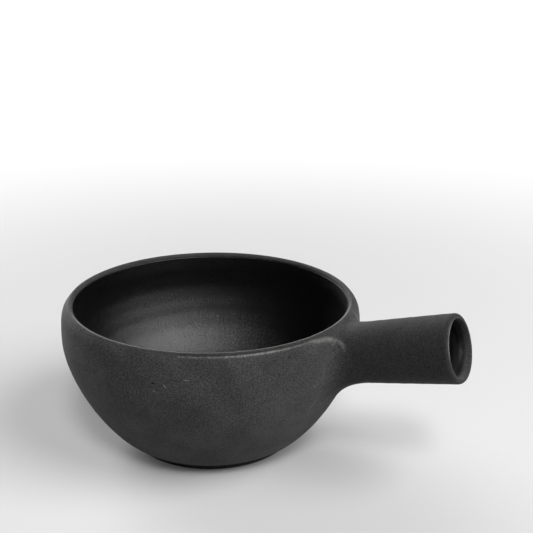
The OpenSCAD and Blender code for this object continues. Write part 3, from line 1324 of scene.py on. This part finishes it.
@dataclass
class JointCoil(PotPiece):
    """The soft coil pressed round the joint and worked hollow: wide below the handle, narrow on top."""

    handle: Handle
    reach_low: float = 14.5
    reach_top: float = 1.2
    run_low: float = 20.0
    run_top: float = 9.0
    # Where the far side of the top was pressed: extra reach and run, angle from +Y over the top, width
    press: float = 2.0
    press_run: float = 10.0
    press_at: float = 57.0
    press_width: float = 22.0
    # Shares of the way back to the corner, on the tube and on the wall, for the hollow curve
    tube_full: float = 0.82
    wall_full: float = 0.76
    # Share of the reach at which the wall's direction is taken, and how far edges and core are sunk
    wall_share: float = 0.9
    sink: float = 0.04
    core: float = 0.5
    columns: int = 320
    curve_steps: int = 44
    back_steps: int = 8

    def build(self) -> bpy.types.Object:
        """Carries a hollow section round the handle.

        At each angle a cubic leaves the tube along its skin and arrives along the bowl's wall. Its
        reach on both grows from the top to the underside with (1 - sine of the angle) / 2, and by a
        bell curve of the angle where the far top was pressed. The section closes through a line that is
        sunk in the clay.

        Returns:
            The coil's mesh, which stands for its CAD node.
        """
        tube = self.handle
        angle = np.linspace(0, FULL_TURN, self.columns, endpoint=False)
        low = (1 - np.sin(angle)) / 2
        pressed = bell(np.degrees(angle), self.press_at, self.press_width)
        reach = self.reach_top + (self.reach_low - self.reach_top) * low + self.press * pressed
        run = self.run_top + (self.run_low - self.run_top) * low + self.press_run * pressed
        corner_along = tube.meet(angle, np.zeros(1))
        corner = tube.beside(angle, 0, corner_along)
        out = tube.beside(angle, -self.sink, corner_along + run)
        over = tube.beside(angle, reach, tube.meet(angle, reach, -self.sink))
        inner = self.wall_share * reach
        nearer = tube.beside(angle, inner, tube.meet(angle, inner, -self.sink))
        along_wall = (nearer - over) / np.linalg.norm(nearer - over, axis=1)[:, None]
        on_tube = out + self.tube_full * (corner - out)
        on_wall = over + self.wall_full * np.linalg.norm(corner - over, axis=1)[:, None] * along_wall
        front = cubic([out, on_tube, on_wall, over], self.curve_steps)
        across = np.gradient(front, axis=0)
        around = np.roll(front, -1, axis=1) - np.roll(front, 1, axis=1)
        facing = np.cross(around, across)
        facing /= np.linalg.norm(facing, axis=2)[..., None]
        proud = np.sign(np.sum(facing * (front - corner), axis=2).mean())
        # Paleness where the fold crosses the coil, partly painted highlight
        lift, worn_and_lit = tube.bowl.crest.relief(front)
        front = front + (proud * lift)[..., None] * facing
        inward = tube.beside(angle, -self.core, tube.meet(angle, np.full(1, -self.core), -self.core))
        back = np.linspace(0, 1, self.back_steps)[1:-1, None, None]
        down = over + (inward - over) * back
        home = inward + (out - inward) * back
        grid = np.concatenate([front, down, inward[None], home])
        piece = make_piece("joint_blend", grid.reshape(-1, 3), ring_faces(len(grid), self.columns, True))
        from_wall = np.linspace(1, 0, len(front))[:, None] * run
        hidden = np.zeros((len(grid) - len(front), self.columns))
        smoke_and_shade = smooth((from_wall - tube.smoke_from) / tube.smoke_fade)
        add_values(piece, "rubbed_and_highlight", np.concatenate([worn_and_lit, hidden]))
        add_values(piece, "smoke_and_shade", np.concatenate([smoke_and_shade, hidden]))
        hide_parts("joint_coil")
        return piece


@dataclass
class LutingSlip:
    """The film of slip in the joint, shut in by the other pieces, so its CAD node stands as it is."""

    slot: ClassVar[Slot] = Slot.SLIP

    def build(self) -> bpy.types.Object:
        """Returns the CAD node, unchanged."""
        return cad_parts["luting_slip"]

    def dress(self, piece: bpy.types.Object, material: bpy.types.Material) -> None:
        """Gives the CAD node its finish in place of the record's plain colour."""
        piece.data.materials.clear()
        piece.data.materials.append(material)


@dataclass(frozen=True)
class Glow:
    """A bright part of the room: where it is, how wide, as the cosine at its edge, and how bright."""

    turn: float
    rise: float
    edge: float
    light: float


@dataclass
class Studio:
    """The pale table, the soft lights and the camera at the photograph's place."""

    table_radius: float = 8.0
    table_gap: float = 0.05
    table_rings: int = 40
    table_columns: int = 96
    # The camera's place from the pot's axis, and where it looks
    stand_off: float = 458.8
    camera_turn: float = -59.44
    camera_height: float = 242.4
    heading: float = 27.034
    pitch: float = 18.148
    roll: float = 0.179
    focal_px: float = 950.0
    sensor: float = 36.0
    clip_m: float = 0.01
    # The main soft light, from the camera's right, in metres and watts
    key_turn: float = 2.0
    key_rise: float = 45.0
    key_away: float = 1.5
    key_size: float = 1.1
    key_power: float = 25.0
    # The room: nearly dark, with a wide low glow behind on the left and a small one above the camera
    room_light: float = 0.005
    rear: Glow = Glow(turn=150, rise=14, edge=0.88, light=11.3)
    front: Glow = Glow(turn=-54, rise=51, edge=0.985, light=32)
    # Rise up to which the table's white goes on past its edge
    horizon: float = 5.0

    def lay_table(self, finish: PaleTable) -> bpy.types.Object:
        """Lays a round table top just under the foot: rings whose radii grow by a square.

        Args:
            finish: The table's finish.

        Returns:
            The table, which isn't part of the pot.
        """
        away = np.linspace(0, 1, self.table_rings + 1)[1:, None] ** 2 * self.table_radius / MM
        turn = np.linspace(0, FULL_TURN, self.table_columns, endpoint=False)[None, :]
        below = np.full((self.table_rings, self.table_columns), -self.table_gap)
        grid = np.stack([away * np.cos(turn), away * np.sin(turn), below], -1).reshape(-1, 3)
        points = np.concatenate([grid, [(0, 0, -self.table_gap)]])
        quads = ring_faces(self.table_rings, self.table_columns, False)
        caps = pole_faces(np.arange(self.table_columns)[::-1], len(grid))
        mesh = bpy.data.meshes.new("table_top")
        mesh.from_pydata(points * MM, [], quads[:, ::-1].tolist() + caps.tolist())
        mesh.update()
        table = bpy.data.objects.new("table_top", mesh)
        bpy.context.scene.collection.objects.link(table)
        table.data.materials.append(finish.material())
        return table

    def light(self) -> None:
        """Sets the room and hangs the main light.

        The room brightens by a smooth step towards each glow. Where it is seen at the level of the
        table it is white.
        """
        world = bpy.data.worlds.new("studio")
        bpy.context.scene.world = world
        world.use_nodes = True
        tree = world.node_tree
        tree.nodes.clear()
        towards = node(tree, "ShaderNodeTexCoord").outputs["Generated"]
        strength: Any = self.room_light
        for glow in (self.rear, self.front):
            facing = node(tree, "ShaderNodeVectorMath", {
                0: towards, 1: self.direction(glow.turn, glow.rise)}, operation="DOT_PRODUCT")
            shine = node(tree, "ShaderNodeMapRange", {
                "Value": facing.outputs["Value"], "From Min": glow.edge, "From Max": 1.0,
                "To Max": glow.light}, interpolation_type="SMOOTHSTEP")
            strength = node(tree, "ShaderNodeMath", {0: strength, 1: shine.outputs["Result"]},
                            operation="ADD").outputs["Value"]
        height = node(tree, "ShaderNodeSeparateXYZ", {"Vector": towards}).outputs["Z"]
        level = node(tree, "ShaderNodeMapRange", {
            "Value": height, "From Min": math.sin(math.radians(self.horizon)), "From Max": 0.0},
            interpolation_type="SMOOTHSTEP")
        white = node(tree, "ShaderNodeMath", {0: seen(tree), 1: level.outputs["Result"]},
                     operation="MULTIPLY")
        strength = node(tree, "ShaderNodeMath", {0: strength, 1: white.outputs["Value"]},
                        operation="MAXIMUM").outputs["Value"]
        back = node(tree, "ShaderNodeBackground", {"Color": (1, 1, 1, 1), "Strength": strength})
        node(tree, "ShaderNodeOutputWorld", {"Surface": back.outputs["Background"]})
        lamp = bpy.data.lights.new("key_softbox", "AREA")
        lamp.shape = "DISK"
        lamp.size = self.key_size
        lamp.energy = self.key_power
        key = bpy.data.objects.new("key_softbox", lamp)
        place = self.direction(self.key_turn, self.key_rise) * self.key_away
        key.matrix_world = Matrix.Translation(place) @ place.to_track_quat("Z", "Y").to_matrix().to_4x4()
        bpy.context.scene.collection.objects.link(key)

    @staticmethod
    def direction(turn: float, rise: float) -> Vector:
        """Unit vector at a turn about the pot's axis and a rise above level, both in degrees."""
        raised = Matrix.Rotation(math.radians(-rise), 3, "Y")
        return Matrix.Rotation(math.radians(turn), 3, "Z") @ raised @ Vector((1, 0, 0))

    def place_camera(self) -> None:
        """Stands the camera off the pot's axis and turns it by heading, pitch and roll."""
        lens = bpy.data.cameras.new("camera")
        lens.sensor_width = self.sensor
        lens.lens = self.sensor * self.focal_px / IMAGE_PX
        lens.clip_start = self.clip_m
        camera = bpy.data.objects.new("camera", lens)
        turn = math.radians(self.camera_turn)
        x = self.stand_off * math.cos(turn)
        y = self.stand_off * math.sin(turn)
        place = Vector((x, y, self.camera_height)) * MM
        facing = Matrix.Rotation(math.radians(self.heading), 4, "Z")
        facing = facing @ Matrix.Rotation(math.radians(90 - self.pitch), 4, "X")
        facing = facing @ Matrix.Rotation(math.radians(self.roll), 4, "Z")
        camera.matrix_world = Matrix.Translation(place) @ facing
        bpy.context.scene.collection.objects.link(camera)
        bpy.context.scene.camera = camera


CLAY_MARKS = (
    Mark(turn=-79.9, height=61.4, radius=76.3, length=2.8, width=1.3, lean=-10),
    Mark(turn=-32.3, height=70.6, radius=75.7, length=2.6, width=0.9, lean=30),
    Mark(turn=-53.2, height=56.0, radius=76.1, length=1.2, width=1.1),
    Mark(turn=-36.1, height=10.6, radius=53.4, length=2.2, width=1.3, lean=10),
    Mark(turn=-75.7, height=60.6, radius=76.3, length=2.8, width=0.7, lean=-56, tone=Tone.SCUFF),
    Mark(turn=-18.2, height=40.2, radius=71.8, length=11, width=1.3, lean=53, tone=Tone.SCUFF,
         strength=0.3),
    Mark(turn=-68.3, height=64.2, radius=76.4, length=4.5, width=0.4, lean=-4, tone=Tone.SCUFF),
    Mark(turn=-20.6, height=51.9, radius=75.2, length=0.9, width=0.8, tone=Tone.SCUFF),
    Mark(turn=-71.4, height=75.0, radius=73.5, length=0.5, width=1.5, lean=12, tone=Tone.SCUFF),
)
GLAZE_MARKS = (
    Mark(turn=139.6, height=54.9, radius=69.5, length=1.4, width=1.2),
    Mark(turn=111.8, height=47.9, radius=67.7, length=1.3, width=1.1),
    Mark(turn=93.7, height=51.5, radius=68.7, length=1.2, width=1.1),
    Mark(turn=135.9, height=30.3, radius=59.7, length=1.2, width=1.1),
)


def main() -> None:
    """Builds the pot's pieces in order, dresses them, and sets up the studio round them."""
    logging.basicConfig(level=logging.INFO, format="%(name)s: %(message)s")
    bpy.context.scene.view_settings.view_transform = "Standard"
    finishes = {
        Slot.STONEWARE: BlackStoneware(marks=CLAY_MARKS).material(),
        Slot.GLAZE: SatinGlaze(marks=GLAZE_MARKS).material(),
        Slot.SLIP: FiredSlip().material(),
    }
    bowl = Bowl()
    handle = Handle(bowl)
    for maker in (bowl, LinerGlaze(bowl), handle, JointCoil(handle), LutingSlip()):
        piece = maker.build()
        maker.dress(piece, finishes[maker.slot])
        LOG.info("%s: %d faces of %s", piece.name, len(piece.data.polygons), maker.slot.value)
    studio = Studio()
    studio.lay_table(PaleTable())
    studio.light()
    studio.place_camera()


if __name__ == "__main__":
    main()
